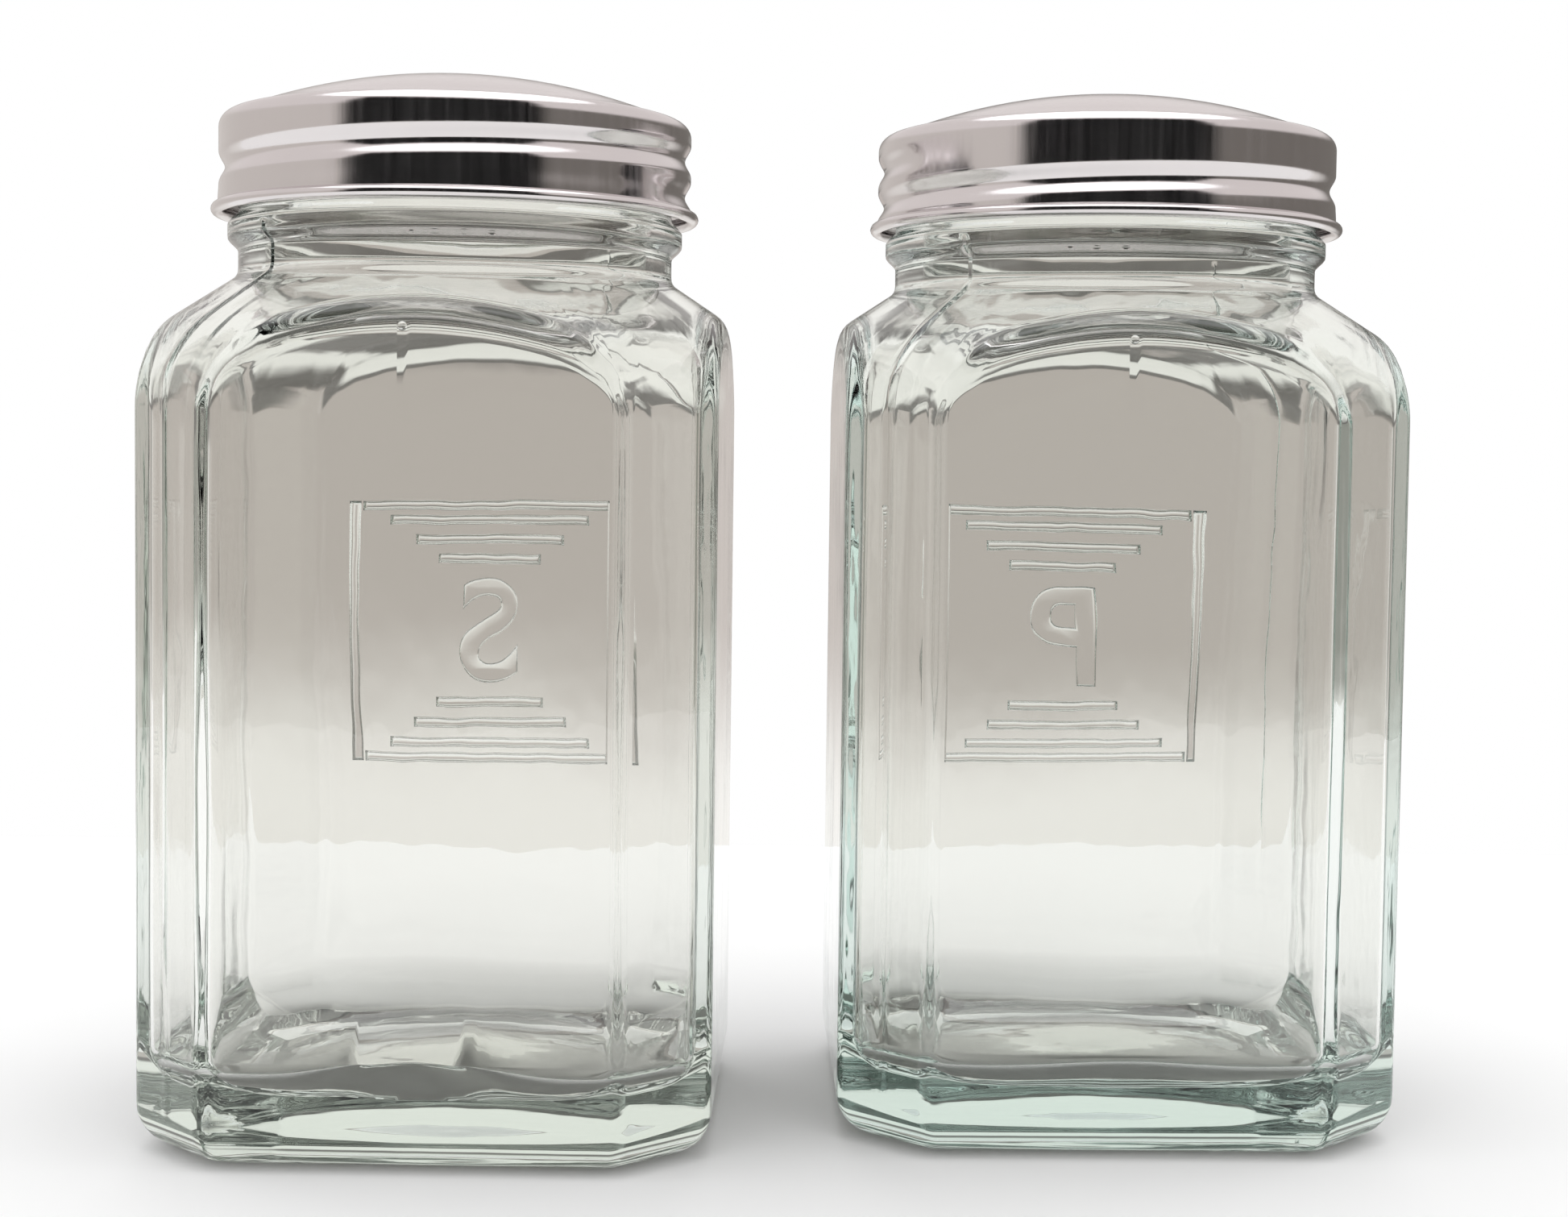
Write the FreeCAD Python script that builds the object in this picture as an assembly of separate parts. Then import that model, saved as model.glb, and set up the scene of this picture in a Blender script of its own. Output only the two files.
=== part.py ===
"""Salt and pepper shakers: two square pressed-glass jars with cut corners, each under a
perforated, rolled-thread steel screw lid with a soft seal ring inside it.

Millimetres, +Z up.  The two shakers stand side by side on z = 0, their faces towards -Y and
their relief panels towards +Y: salt on the -X side, pepper on the +X side and a little further
back.  Every jar, seal and lid is first built on its own axis and then set in its place.
"""

import FreeCAD
import Part
import math
import os

V = FreeCAD.Vector
UP = V(0, 0, 1)
ORIGIN = V(0, 0, 0)
FULL_TURN = 360.0

# ---- places of the two shakers -------------------------------------------------------------
SPACING = 76.6            # from one shaker's axis to the other's
PEPPER_SETBACK = 9.4      # the pepper shaker stands this much further back
SALT_TURN = -1.0          # degrees about each jar's own axis
PEPPER_TURN = 1.2

# ---- glass body ----------------------------------------------------------------------------
BODY_WIDTH = 63.5         # across two opposite faces (2.5 in)
CORNER_CUT = 9.1          # leg of each cut corner
EDGE_RADIUS = 2.0         # along the eight upright edges
HEEL_RADIUS = 5.0         # from the walls into the base
WALL = 3.0                # glass thickness of the walls
FLOOR_Z = 6.5             # inner floor above the table
INNER_HEEL_RADIUS = 8.0
PUSH_UP_RADIUS = 24.6     # shallow round hollow under the base
PUSH_UP_DEPTH = 1.4

# ---- glass shoulder and neck ---------------------------------------------------------------
SHOULDER_MAX_RADIUS = 39.1   # the dome's girth, just outside the upright edges
SHOULDER_ARC = 14.0
SHOULDER_SLOPE = 33.4        # degrees from level, from the arc up to the neck
NECK_FOOT_Z = 96.9
NECK_RADIUS = 25.0
NECK_FOOT_RADIUS = 1.6       # hollow radius where the neck meets the shoulder
BEAD_RADIUS = 26.2           # rounded ring just below the lid
BEAD_Z = 102.0
BEAD_HALF_HEIGHT = 1.3
BEAD_SLOPE = 0.9             # height in which the ring falls away to the neck
BEAD_ROUND = 0.7
NECK_SUNK = 6.0              # the neck is begun this far down inside the shoulder
NECK_CORE_RADIUS = 18.9      # and this far in, before the bore is cut
RIM_Z = 113.4
RIM_ROUND = 1.0
BORE_RADIUS = 21.9

# ---- raised relief on the back panel: a plain frame, plain bars and one letter --------------
RELIEF = 0.5              # how far it stands out of the glass
RELIEF_BITE = 0.3         # how far it is sunk into the wall
RELIEF_Z = 54.0           # its centre above the table
FRAME_WIDTH = 36.0
FRAME_HEIGHT = 34.0
FRAME_RIB = 1.0
BAR_WIDTHS = (26.0, 20.0, 14.0)
BAR_STEP = 2.6            # from the frame to the first bar, and from bar to bar
LETTER_HEIGHT = 13.0
LETTER_STROKE = 2.0

# ---- screw thread --------------------------------------------------------------------------
PITCH = 4.233             # six turns to the inch
GLASS_THREAD_RADIUS = 26.4
GLASS_THREAD_ROOT = 1.15  # half height at the neck
GLASS_THREAD_CREST = 0.45
GLASS_THREAD_TURNS = 1.0
THREAD_EARLY = 0.25       # turns by which the glass thread starts before the lid's ridge
THREAD_LEAD = 1.8         # the glass thread runs this far above the lid's ridge
THREAD_BITE = 0.6         # how far a swept thread is sunk into its wall

# ---- lid -----------------------------------------------------------------------------------
SHEET = 0.5               # thickness of the lid's steel
LID_RADIUS = 27.2
LID_BASE_Z = 104.5        # centre height of the curled lower edge
CURL_RADIUS = 0.7
LID_RIM_Z = 115.5         # flat ring around the dome, outer face
LID_CORNER = 1.7
DOME_RADIUS = 25.0        # where the dome rises from the flat ring
TOTAL_HEIGHT = 120.3      # at the top of the dome, about 4.75 in
GROOVE_DEPTH = 0.75
GROOVE_HALF_WIDTH = 1.05
GROOVE_FLOOR_HALF = 0.37  # half the width of the groove's flat floor
GROOVE_PROUD = 0.6        # the groove is cut from this far outside the skirt
RIDGE_BITE = 0.3          # the inner ridge is begun this far inside the sheet
GROOVE_TURNS = 1.15
GROOVE_Z = 106.7          # height of the groove's lower end
SALT_GROOVE_START = -20.0     # degrees from +X to the groove's lower end
PEPPER_GROOVE_START = 150.0
HOLE_RADIUS = 0.75
HOLE_RINGS = ((0.0, 1), (4.2, 6), (8.4, 12))   # ring radius, number of holes

# ---- seal ring -----------------------------------------------------------------------------
SEAL_GAP = 0.03           # play above and below the ring
SEAL_INNER = 22.6
SEAL_SIDE_PLAY = 1.2      # between the ring and the lid's inner wall

# ---- worked out from the above --------------------------------------------------------------
FACE = BODY_WIDTH / 2
INNER_FACE = FACE - WALL
INNER_CUT = CORNER_CUT - WALL * (2 - math.sqrt(2))
LID_INNER = LID_RADIUS - SHEET
LID_CEILING_Z = LID_RIM_Z - SHEET
SEAL_BOTTOM_Z = RIM_Z + SEAL_GAP
SEAL_TOP_Z = LID_CEILING_Z - SEAL_GAP


def at(radius, z):
    """A point of a turned outline."""
    return V(radius, 0, z)


def turned(edges):
    """The solid made by turning a closed outline about the Z axis."""
    face = Part.Face(Part.Wire(edges))
    return face.revolve(ORIGIN, UP, FULL_TURN)


def lines(points):
    """Straight edges from each point to the next."""
    return [Part.makeLine(a, b) for a, b in zip(points, points[1:])]


def arc(a, middle, b):
    return Part.Arc(a, middle, b).toShape()


def round_corner(before, corner, after, radius):
    """Tangent points of a fillet at a corner, and the arc between them."""
    u = (before - corner).normalize()
    w = (after - corner).normalize()
    half = u.getAngle(w) / 2
    reach = radius / math.tan(half)
    centre = corner + (u + w).normalize() * (radius / math.sin(half))
    start = corner + u * reach
    end = corner + w * reach
    middle = centre + (corner - centre).normalize() * radius
    return start, end, arc(start, middle, end)


def outline(corners):
    """A closed outline from (point, radius) pairs; a radius of 0 leaves the corner sharp."""
    count = len(corners)
    joined = []
    for i, (corner, radius) in enumerate(corners):
        if radius:
            before = corners[i - 1][0]
            after = corners[(i + 1) % count][0]
            joined.append(round_corner(before, corner, after, radius))
        else:
            joined.append((corner, corner, None))
    edges = []
    for i, (start, end, bend) in enumerate(joined):
        if bend:
            edges.append(bend)
        following = joined[(i + 1) % count][0]
        if (following - end).Length > 1e-6:
            edges.append(Part.makeLine(end, following))
    return edges


def cut_corner_prism(face, cut, bottom, top):
    """An upright square prism with its four corners cut off."""
    near = face - cut
    ring = [(face, -near), (face, near), (near, face), (-near, face),
            (-face, near), (-face, -near), (-near, -face), (near, -face)]
    points = [V(x, y, bottom) for x, y in ring]
    wire = Part.makePolygon(points + points[:1])
    return Part.Face(wire).extrude(V(0, 0, top - bottom))


def upright_edges(shape):
    found = []
    for edge in shape.Edges:
        a, b = (v.Point for v in edge.Vertexes)
        if abs(a.x - b.x) < 1e-6 and abs(a.y - b.y) < 1e-6:
            found.append(edge)
    return found


def edges_at(shape, z):
    return [e for e in shape.Edges if abs(e.BoundBox.ZMin - z) < 1e-6 and e.BoundBox.ZLength < 1e-6]


def rounded_prism(face, cut, bottom, top, edge_radius, heel_radius):
    prism = cut_corner_prism(face, cut, bottom, top)
    prism = prism.makeFillet(edge_radius, upright_edges(prism))
    return prism.makeFillet(heel_radius, edges_at(prism, bottom))


def shoulder_points(inset):
    """Where the shoulder arc starts, its middle and end, and the foot of the neck, moved in by inset."""
    slope = math.radians(SHOULDER_SLOPE)
    radius = SHOULDER_ARC - inset
    centre_r = SHOULDER_MAX_RADIUS - SHOULDER_ARC
    neck = NECK_RADIUS
    end_r = centre_r + SHOULDER_ARC * math.sin(slope)
    end_z = NECK_FOOT_Z - (end_r - neck) * math.tan(slope)
    centre_z = end_z - SHOULDER_ARC * math.cos(slope)
    middle = (math.pi / 2 - slope) / 2
    start = at(centre_r + radius, centre_z)
    mid = at(centre_r + radius * math.cos(middle), centre_z + radius * math.sin(middle))
    end = at(centre_r + radius * math.sin(slope), centre_z + radius * math.cos(slope))
    return start, mid, end, slope


def shoulder_envelope():
    """The turned solid that shapes the shoulder, up to the foot of the neck."""
    start, mid, end, slope = shoulder_points(0)
    foot = at(NECK_RADIUS, NECK_FOOT_Z)
    edges = lines([at(0, NECK_FOOT_Z), ORIGIN, at(SHOULDER_MAX_RADIUS, 0), start])
    edges.append(arc(start, mid, end))
    edges += lines([end, foot, at(0, NECK_FOOT_Z)])
    return turned(edges)


def inner_envelope():
    """The turned solid that shapes the hollow's shoulder and leads into the bore."""
    start, mid, end, slope = shoulder_points(WALL)
    foot_z = end.z + (end.x - BORE_RADIUS) * math.tan(slope)
    foot = at(BORE_RADIUS, foot_z)
    edges = lines([at(0, foot_z), at(0, FLOOR_Z), at(start.x, FLOOR_Z), start])
    edges.append(arc(start, mid, end))
    edges += lines([end, foot, at(0, foot_z)])
    return turned(edges), foot_z


def neck():
    """The neck from inside the shoulder up to the rim, with its ring and its rounded rim."""
    bottom = NECK_FOOT_Z - NECK_SUNK
    flat = BEAD_HALF_HEIGHT - 0.3
    ring = BEAD_HALF_HEIGHT + BEAD_SLOPE
    corners = [
        (at(NECK_CORE_RADIUS, bottom), 0),
        (at(NECK_RADIUS, bottom), 0),
        (at(NECK_RADIUS, BEAD_Z - ring), BEAD_ROUND),
        (at(BEAD_RADIUS, BEAD_Z - flat), BEAD_ROUND),
        (at(BEAD_RADIUS, BEAD_Z + flat), BEAD_ROUND),
        (at(NECK_RADIUS, BEAD_Z + ring), BEAD_ROUND),
        (at(NECK_RADIUS, RIM_Z), RIM_ROUND),
        (at(NECK_CORE_RADIUS, RIM_Z), 0),
    ]
    return turned(outline(corners))


def neck_fillet():
    """A ring of glass that fills the corner between shoulder and neck to a hollow radius."""
    slope = math.radians(SHOULDER_SLOPE)
    corner = at(NECK_RADIUS, NECK_FOOT_Z)
    up = corner + V(0, 0, 10)
    down = corner + V(math.cos(slope), 0, -math.sin(slope)) * 10
    start, end, bend = round_corner(up, corner, down, NECK_FOOT_RADIUS)
    core = corner - V(1.0, 0, 1.5)
    return turned([bend] + lines([end, core, start]))


def helix_sweep(profile, radius, start_z, start_angle, turns):
    """A closed outline in the XZ plane, swept up a right-hand helix."""
    path = Part.makeHelix(PITCH, PITCH * turns, radius)
    wire = Part.Wire(lines(profile + profile[:1]))
    thread = Part.Wire(path.Edges).makePipeShell([wire], True, True)
    thread.translate(V(0, 0, start_z))
    thread.rotate(ORIGIN, UP, start_angle)
    return thread


def glass_thread(groove_start):
    """The raised thread on the neck, lying just above the lid's rolled ridge."""
    flank = (GLASS_THREAD_ROOT - GLASS_THREAD_CREST) / (GLASS_THREAD_RADIUS - NECK_RADIUS)
    sunk = GLASS_THREAD_ROOT + flank * THREAD_BITE
    profile = [at(NECK_RADIUS - THREAD_BITE, -sunk),
               at(GLASS_THREAD_RADIUS, -GLASS_THREAD_CREST),
               at(GLASS_THREAD_RADIUS, GLASS_THREAD_CREST),
               at(NECK_RADIUS - THREAD_BITE, sunk)]
    start_z = GROOVE_Z + THREAD_LEAD - THREAD_EARLY * PITCH
    start_angle = groove_start - THREAD_EARLY * FULL_TURN
    return helix_sweep(profile, NECK_RADIUS, start_z, start_angle, GLASS_THREAD_TURNS)


def slab(x, y, width, height):
    """A low bar of relief centred on x, y of the panel."""
    return Part.makeBox(width, height, RELIEF + RELIEF_BITE, V(x - width / 2, y - height / 2, -RELIEF_BITE))


def bow(x, y, radius, first, last):
    """A curved stroke about x, y, from the first to the last angle in degrees."""
    height = RELIEF + RELIEF_BITE
    foot = V(x, y, -RELIEF_BITE)
    outer = Part.makeCylinder(radius, height, foot, UP, last - first)
    inner = Part.makeCylinder(radius - LETTER_STROKE, height, foot, UP)
    stroke = outer.cut(inner)
    stroke.rotate(foot, UP, first)
    return stroke


def letter_s():
    radius = (LETTER_HEIGHT + LETTER_STROKE) / 4
    middle = LETTER_HEIGHT / 2 - radius
    return [bow(0, middle, radius, 20, 270), bow(0, -middle, radius, -160, 90)]


def letter_p():
    radius = (LETTER_HEIGHT + LETTER_STROKE) / 4
    left = -radius
    middle = LETTER_HEIGHT / 2 - radius
    strokes = [slab(left + LETTER_STROKE / 2, 0, LETTER_STROKE, LETTER_HEIGHT), bow(0, middle, radius, -90, 90)]
    for side in (-1, 1):
        strokes.append(slab(left / 2, middle + side * (radius - LETTER_STROKE / 2), radius, LETTER_STROKE))
    return strokes


def relief(letter):
    """The back panel's relief, lying on the outside of the back face and read from behind."""
    frame = slab(0, 0, FRAME_WIDTH, FRAME_HEIGHT)
    frame = frame.cut(slab(0, 0, FRAME_WIDTH - 2 * FRAME_RIB, FRAME_HEIGHT - 2 * FRAME_RIB))
    strokes = list(letter)
    for i, width in enumerate(BAR_WIDTHS):
        y = FRAME_HEIGHT / 2 - BAR_STEP * (i + 1)
        strokes += [slab(0, y, width, FRAME_RIB), slab(0, -y, width, FRAME_RIB)]
    shape = frame.multiFuse(strokes)
    shape.rotate(ORIGIN, V(1, 0, 0), 90)
    shape.rotate(ORIGIN, UP, 180)
    shape.translate(V(0, FACE, RELIEF_Z))
    return shape


def jar(groove_start, letter):
    """One glass jar on its own axis, standing on z = 0."""
    body = rounded_prism(FACE, CORNER_CUT, 0, NECK_FOOT_Z + 10, EDGE_RADIUS, HEEL_RADIUS)
    body = body.common(shoulder_envelope())
    glass = body.fuse(neck()).fuse(neck_fillet())
    glass = glass.fuse(glass_thread(groove_start)).fuse(relief(letter))
    hollow, foot_z = inner_envelope()
    inner = rounded_prism(INNER_FACE, INNER_CUT, FLOOR_Z, NECK_FOOT_Z + 10, EDGE_RADIUS, INNER_HEEL_RADIUS)
    hollow = inner.common(hollow)
    bore = Part.makeCylinder(BORE_RADIUS, RIM_Z - foot_z + 3, at(0, foot_z - 1))
    glass = glass.cut(hollow.fuse(bore))
    dome = (PUSH_UP_RADIUS ** 2 + PUSH_UP_DEPTH ** 2) / (2 * PUSH_UP_DEPTH)
    push_up = Part.makeSphere(dome, at(0, PUSH_UP_DEPTH - dome))
    return glass.cut(push_up).removeSplitter()


def dome_cap(radius, base_z, top_z):
    """Arc points of a shallow dome: its edge, a point half way, and its top."""
    rise = top_z - base_z
    sphere = (radius ** 2 + rise ** 2) / (2 * rise)
    half = radius / 2
    mid_z = top_z - sphere + math.sqrt(sphere ** 2 - half ** 2)
    return at(radius, base_z), at(half, mid_z), at(0, top_z)


def lid_shell():
    """The pressed cup of the lid: domed top, flat ring, rounded corner and plain skirt."""
    edge, mid, top = dome_cap(DOME_RADIUS, LID_RIM_Z, TOTAL_HEIGHT)
    in_edge, in_mid, in_top = dome_cap(DOME_RADIUS, LID_CEILING_Z, TOTAL_HEIGHT - SHEET)
    outer = at(LID_RADIUS, LID_RIM_Z)
    skirt_z = LID_BASE_Z
    start, end, bend = round_corner(edge, outer, at(LID_RADIUS, skirt_z), LID_CORNER)
    inner = at(LID_INNER, LID_CEILING_Z)
    in_start, in_end, in_bend = round_corner(at(LID_INNER, skirt_z), inner, in_edge, LID_CORNER - SHEET)
    edges = [arc(top, mid, edge)]
    edges += lines([edge, start]) + [bend] + lines([end, at(LID_RADIUS, skirt_z), at(LID_INNER, skirt_z), in_start])
    edges += [in_bend] + lines([in_end, in_edge]) + [arc(in_edge, in_mid, in_top)] + lines([in_top, top])
    return turned(edges)


def curl():
    """The rolled lower edge: a round bead that turns outwards, hollow inside."""
    centre = at(LID_INNER + CURL_RADIUS, LID_BASE_Z)
    bead = Part.makeTorus(centre.x, CURL_RADIUS, at(0, LID_BASE_Z))
    inside = Part.makeTorus(centre.x, CURL_RADIUS - SHEET, at(0, LID_BASE_Z))
    return bead.cut(inside)


def rolled_groove(groove_start):
    """The groove pressed into the skirt from outside, and the ridge that it raises inside."""
    floor = LID_RADIUS - GROOVE_DEPTH
    crest = LID_INNER - GROOVE_DEPTH
    flank = (GROOVE_HALF_WIDTH - GROOVE_FLOOR_HALF) / GROOVE_DEPTH
    wide = GROOVE_HALF_WIDTH + flank * GROOVE_PROUD
    outside = [at(LID_RADIUS + GROOVE_PROUD, -wide), at(floor, -GROOVE_FLOOR_HALF),
               at(floor, GROOVE_FLOOR_HALF), at(LID_RADIUS + GROOVE_PROUD, wide)]
    crest_half = GROOVE_FLOOR_HALF + SHEET / 2
    root_half = crest_half + flank * (GROOVE_DEPTH + RIDGE_BITE)
    inside = [at(LID_INNER + RIDGE_BITE, -root_half), at(crest, -crest_half),
              at(crest, crest_half), at(LID_INNER + RIDGE_BITE, root_half)]
    groove = helix_sweep(outside, LID_RADIUS, GROOVE_Z, groove_start, GROOVE_TURNS)
    ridge = helix_sweep(inside, LID_RADIUS, GROOVE_Z, groove_start, GROOVE_TURNS)
    return groove, ridge


def lid(groove_start):
    """One screw lid on its own axis, fully screwed down."""
    shell = lid_shell().fuse(curl())
    groove, ridge = rolled_groove(groove_start)
    shell = shell.fuse(ridge).cut(groove)
    for ring_radius, count in HOLE_RINGS:
        for i in range(count):
            angle = 2 * math.pi * i / count
            foot = V(ring_radius * math.cos(angle), ring_radius * math.sin(angle), LID_RIM_Z - 3)
            shell = shell.cut(Part.makeCylinder(HOLE_RADIUS, TOTAL_HEIGHT - LID_RIM_Z + 6, foot))
    return shell


def seal():
    """The soft flat ring between the lid's ceiling and the glass rim."""
    outer = LID_INNER - SEAL_SIDE_PLAY
    height = SEAL_TOP_Z - SEAL_BOTTOM_Z
    ring = Part.makeCylinder(outer, height, at(0, SEAL_BOTTOM_Z))
    return ring.cut(Part.makeCylinder(SEAL_INNER, height, at(0, SEAL_BOTTOM_Z)))


def place(shape, x, y, turn):
    shape = shape.copy()
    shape.rotate(ORIGIN, UP, turn)
    shape.translate(V(x, y, 0))
    return shape


def save(name, shape):
    solids = shape.Solids
    print(name, "valid", shape.isValid(), "solids", len(solids), "volume %.1f" % shape.Volume,
          "box %.2f %.2f %.2f" % (shape.BoundBox.XLength, shape.BoundBox.YLength, shape.BoundBox.ZLength))
    solids[0].exportStep("parts/%s.step" % name)


def main():
    os.makedirs("parts", exist_ok=True)
    shakers = (("salt", letter_s(), -SPACING / 2, -PEPPER_SETBACK / 2, SALT_TURN, SALT_GROOVE_START),
               ("pepper", letter_p(), SPACING / 2, PEPPER_SETBACK / 2, PEPPER_TURN, PEPPER_GROOVE_START))
    for name, letter, x, y, turn, groove_start in shakers:
        save(name + "_jar", place(jar(groove_start, letter), x, y, turn))
        save(name + "_lid", place(lid(groove_start), x, y, turn))
        save(name + "_seal_ring", place(seal(), x, y, turn))


main()
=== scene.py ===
"""A pair of square pressed-glass shakers with perforated steel screw lids, for one shared frame."""

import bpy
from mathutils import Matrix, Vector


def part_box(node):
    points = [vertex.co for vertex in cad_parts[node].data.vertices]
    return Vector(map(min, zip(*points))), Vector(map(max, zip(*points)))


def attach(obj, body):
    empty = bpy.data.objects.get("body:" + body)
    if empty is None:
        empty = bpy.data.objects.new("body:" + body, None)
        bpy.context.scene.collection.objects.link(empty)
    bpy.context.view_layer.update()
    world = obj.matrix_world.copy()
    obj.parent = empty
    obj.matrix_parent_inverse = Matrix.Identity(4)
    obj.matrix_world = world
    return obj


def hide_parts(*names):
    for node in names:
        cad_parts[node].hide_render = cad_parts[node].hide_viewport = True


bl_info = {
    "name": "Salt and Pepper Shakers",
    "version": (1, 0, 0),
    "blender": (4, 5, 0),
    "location": "3D View > Sidebar > Shakers",
    "description": "Builds two square glass shakers with domed screw lids, their seals and a studio stage",
    "category": "Object",
}

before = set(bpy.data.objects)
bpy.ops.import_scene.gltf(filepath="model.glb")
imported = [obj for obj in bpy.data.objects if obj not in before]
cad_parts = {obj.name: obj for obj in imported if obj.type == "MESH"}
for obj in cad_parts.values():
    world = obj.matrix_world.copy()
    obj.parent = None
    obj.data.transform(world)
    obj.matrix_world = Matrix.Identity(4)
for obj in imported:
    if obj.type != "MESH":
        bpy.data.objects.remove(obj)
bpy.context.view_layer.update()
import bmesh
import bpy
import math
from mathutils import Matrix, Vector, noise

MM = 0.001
SHAKERS = ("salt", "pepper")


def axis_of(name):
    """Where a shaker's upright axis stands: the middle of its round lid."""
    low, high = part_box(name + "_lid")
    return Vector(((low.x + high.x) / 2, (low.y + high.y) / 2, 0))


RIM_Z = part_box("salt_jar")[1].z
LID_LOW, LID_HIGH = (corner.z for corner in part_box("salt_lid"))
SEAL_LOW, SEAL_HIGH = (corner.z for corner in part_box("salt_seal_ring"))
LID_ACROSS = (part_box("salt_lid")[1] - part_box("salt_lid")[0]).x

OUTER_SOFTNESS = 1.7 * MM       # bend from a flat wall into the shoulder, outside
INNER_SOFTNESS = 1.8 * MM       # the same bend inside
THREAD_OVER_GROOVE = 1.8 * MM   # the neck's thread lies this far above the lid's groove
THREAD_LEAD = 0.25              # turns by which the neck's thread starts before the groove
FOLD_HALF_WIDTH = math.radians(33)   # to either side of the front
RELIEF_DEPTH = 1.6 * MM         # a rib of the relief, from front to back, partly in the glass
RELIEF_BEVEL = 0.6 * MM
GLASS_DENSITY = 22.0            # how fast thick glass takes its tint
FLOOR_DEPTH = 0.7               # the pale floor from front to back, in metres
BRIGHT_STRIP = (2.3, 2.3, 2.35, 1)   # a lamp overhead, seen only in the steel


# ---------------------------------------------------------------------------------------
# Sizes and colours
# ---------------------------------------------------------------------------------------

def length(name, description, default_mm):
    return bpy.props.FloatProperty(name=name, description=description, default=default_mm * MM,
                                   min=0.0, unit="LENGTH", precision=5)


def angle(name, description, degrees):
    return bpy.props.FloatProperty(name=name, description=description, default=math.radians(degrees),
                                   unit="ROTATION")


def colour(name, description, value):
    return bpy.props.FloatVectorProperty(name=name, description=description, default=value,
                                         subtype="COLOR", size=3, min=0.0, max=2.0)


class ShakerJarSettings(bpy.types.PropertyGroup):
    half_width: length("Half width", "From the jar's axis to a flat face", 31.75)
    corner_cut: length("Corner cut", "Leg of each cut corner", 9.1)
    edge_radius: length("Edge radius", "Roundness of the upright edges", 2.2)
    heel_radius: length("Heel radius", "Roundness from the walls into the base", 5.0)
    wall: length("Wall", "Thickness of the glass walls", 3.0)
    floor_height: length("Floor height", "Inner floor above the table", 6.5)
    floor_hump: length("Floor hump", "How far the inner floor rises in the middle", 1.1)
    inner_heel: length("Inner heel height", "Height of the bowl from the walls to the inner floor", 5.0)
    floor_radius: length("Floor radius", "Round middle of the inner floor", 20.5)
    salt_fold: length("Salt fold", "Rise of the inner heel at the middle of the salt jar's front", 3.0)
    pepper_fold: length("Pepper fold", "Rise of the inner heel at the middle of the pepper jar's front", 0.9)
    nib: length("Nib", "Radius of the mould nib under each front arch", 0.55)
    push_up_radius: length("Push-up radius", "Round hollow under the base", 24.6)
    push_up_depth: length("Push-up depth", "Depth of the hollow under the base", 1.4)
    girth: length("Girth", "Largest radius of the turned shoulder", 39.1)
    shoulder_arc: length("Shoulder arc", "Radius of the shoulder's curve", 14.0)
    shoulder_slope: angle("Shoulder slope", "Slope of the upper shoulder from level", 33.4)
    neck_radius: length("Neck radius", "Outside of the neck", 25.0)
    neck_foot: length("Neck foot", "Height where the shoulder's slope meets the neck", 96.9)
    neck_hollow: length("Neck hollow", "Hollow radius at the foot of the neck", 1.6)
    bead_height: length("Bead height", "Height of the ring below the lid", 102.0)
    bead_proud: length("Bead", "How far the ring below the lid stands out", 1.2)
    bead_half: length("Bead half width", "Half the ring's width", 2.0)
    bore_radius: length("Bore radius", "Inside of the neck", 21.9)
    thread_proud: length("Thread", "How far the thread stands out of the neck", 1.4)
    thread_half: length("Thread half width", "Half the thread's width at the neck", 1.5)
    thread_start: angle("Thread start", "Where the neck's thread begins, set from each lid", 0.0)
    seam: length("Mould seam", "How far the two mould seams stand out", 0.22)
    ripple: length("Ripple", "Unevenness of the inner walls", 0.16)
    salt_turn: angle("Salt turn", "How far the salt jar is turned on its axis", -1.0)
    pepper_turn: angle("Pepper turn", "How far the pepper jar is turned on its axis", 1.2)
    salt_tint: colour("Salt glass tint", "Colour of thick glass in the salt jar", (0.84, 0.89, 0.86))
    pepper_tint: colour("Pepper glass tint", "Colour of thick glass in the pepper jar", (0.79, 0.89, 0.865))


class ShakerReliefSettings(bpy.types.PropertyGroup):
    height: length("Centre height", "Middle of the relief above the table", 54.0)
    frame_width: length("Frame width", "Outside width of the plain frame", 36.0)
    frame_height: length("Frame height", "Outside height of the plain frame", 34.0)
    rib: length("Rib", "Width of the frame's and bars' ribs", 1.3)
    proud: length("Relief", "How far the relief stands out of the glass", 0.7)
    letter_height: length("Letter height", "Height of the single letter", 13.0)


class ShakerLidSettings(bpy.types.PropertyGroup):
    radius: length("Skirt radius", "Outside of the lid's skirt", 27.2)
    sheet: length("Sheet", "Thickness of the lid's steel", 0.42)
    rim_height: length("Rim height", "Height of the flat ring round the dome", 115.5)
    corner: length("Corner radius", "Roundness of the lid's upper edge", 1.7)
    dome_radius: length("Dome radius", "Where the dome rises from the flat ring", 25.1)
    curl_radius: length("Curl radius", "Roundness of the rolled lower edge", 0.7)
    groove_depth: length("Groove depth", "Depth of the rolled screw groove", 0.72)
    groove_half: length("Groove half width", "Half the groove's width", 1.9)
    groove_height: length("Groove height", "Lower end of the groove above the table", 106.7)
    pitch: length("Pitch", "Rise of the thread in one turn", 4.233)
    groove_turns: bpy.props.FloatProperty(name="Groove turns",
                                          description="Length of the rolled groove in turns",
                                          default=1.15, min=0.5, max=3.0)
    salt_start: angle("Salt groove start", "Where the salt lid's groove begins", -20.0)
    pepper_start: angle("Pepper groove start", "Where the pepper lid's groove begins", 150.0)
    hole_radius: length("Hole radius", "Radius of a pouring hole", 0.75)
    hole_ring: length("Hole ring step", "Distance between the rings of holes", 4.2)
    steel: colour("Steel", "Colour of the lid's steel", (0.66, 0.63, 0.63))


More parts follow.
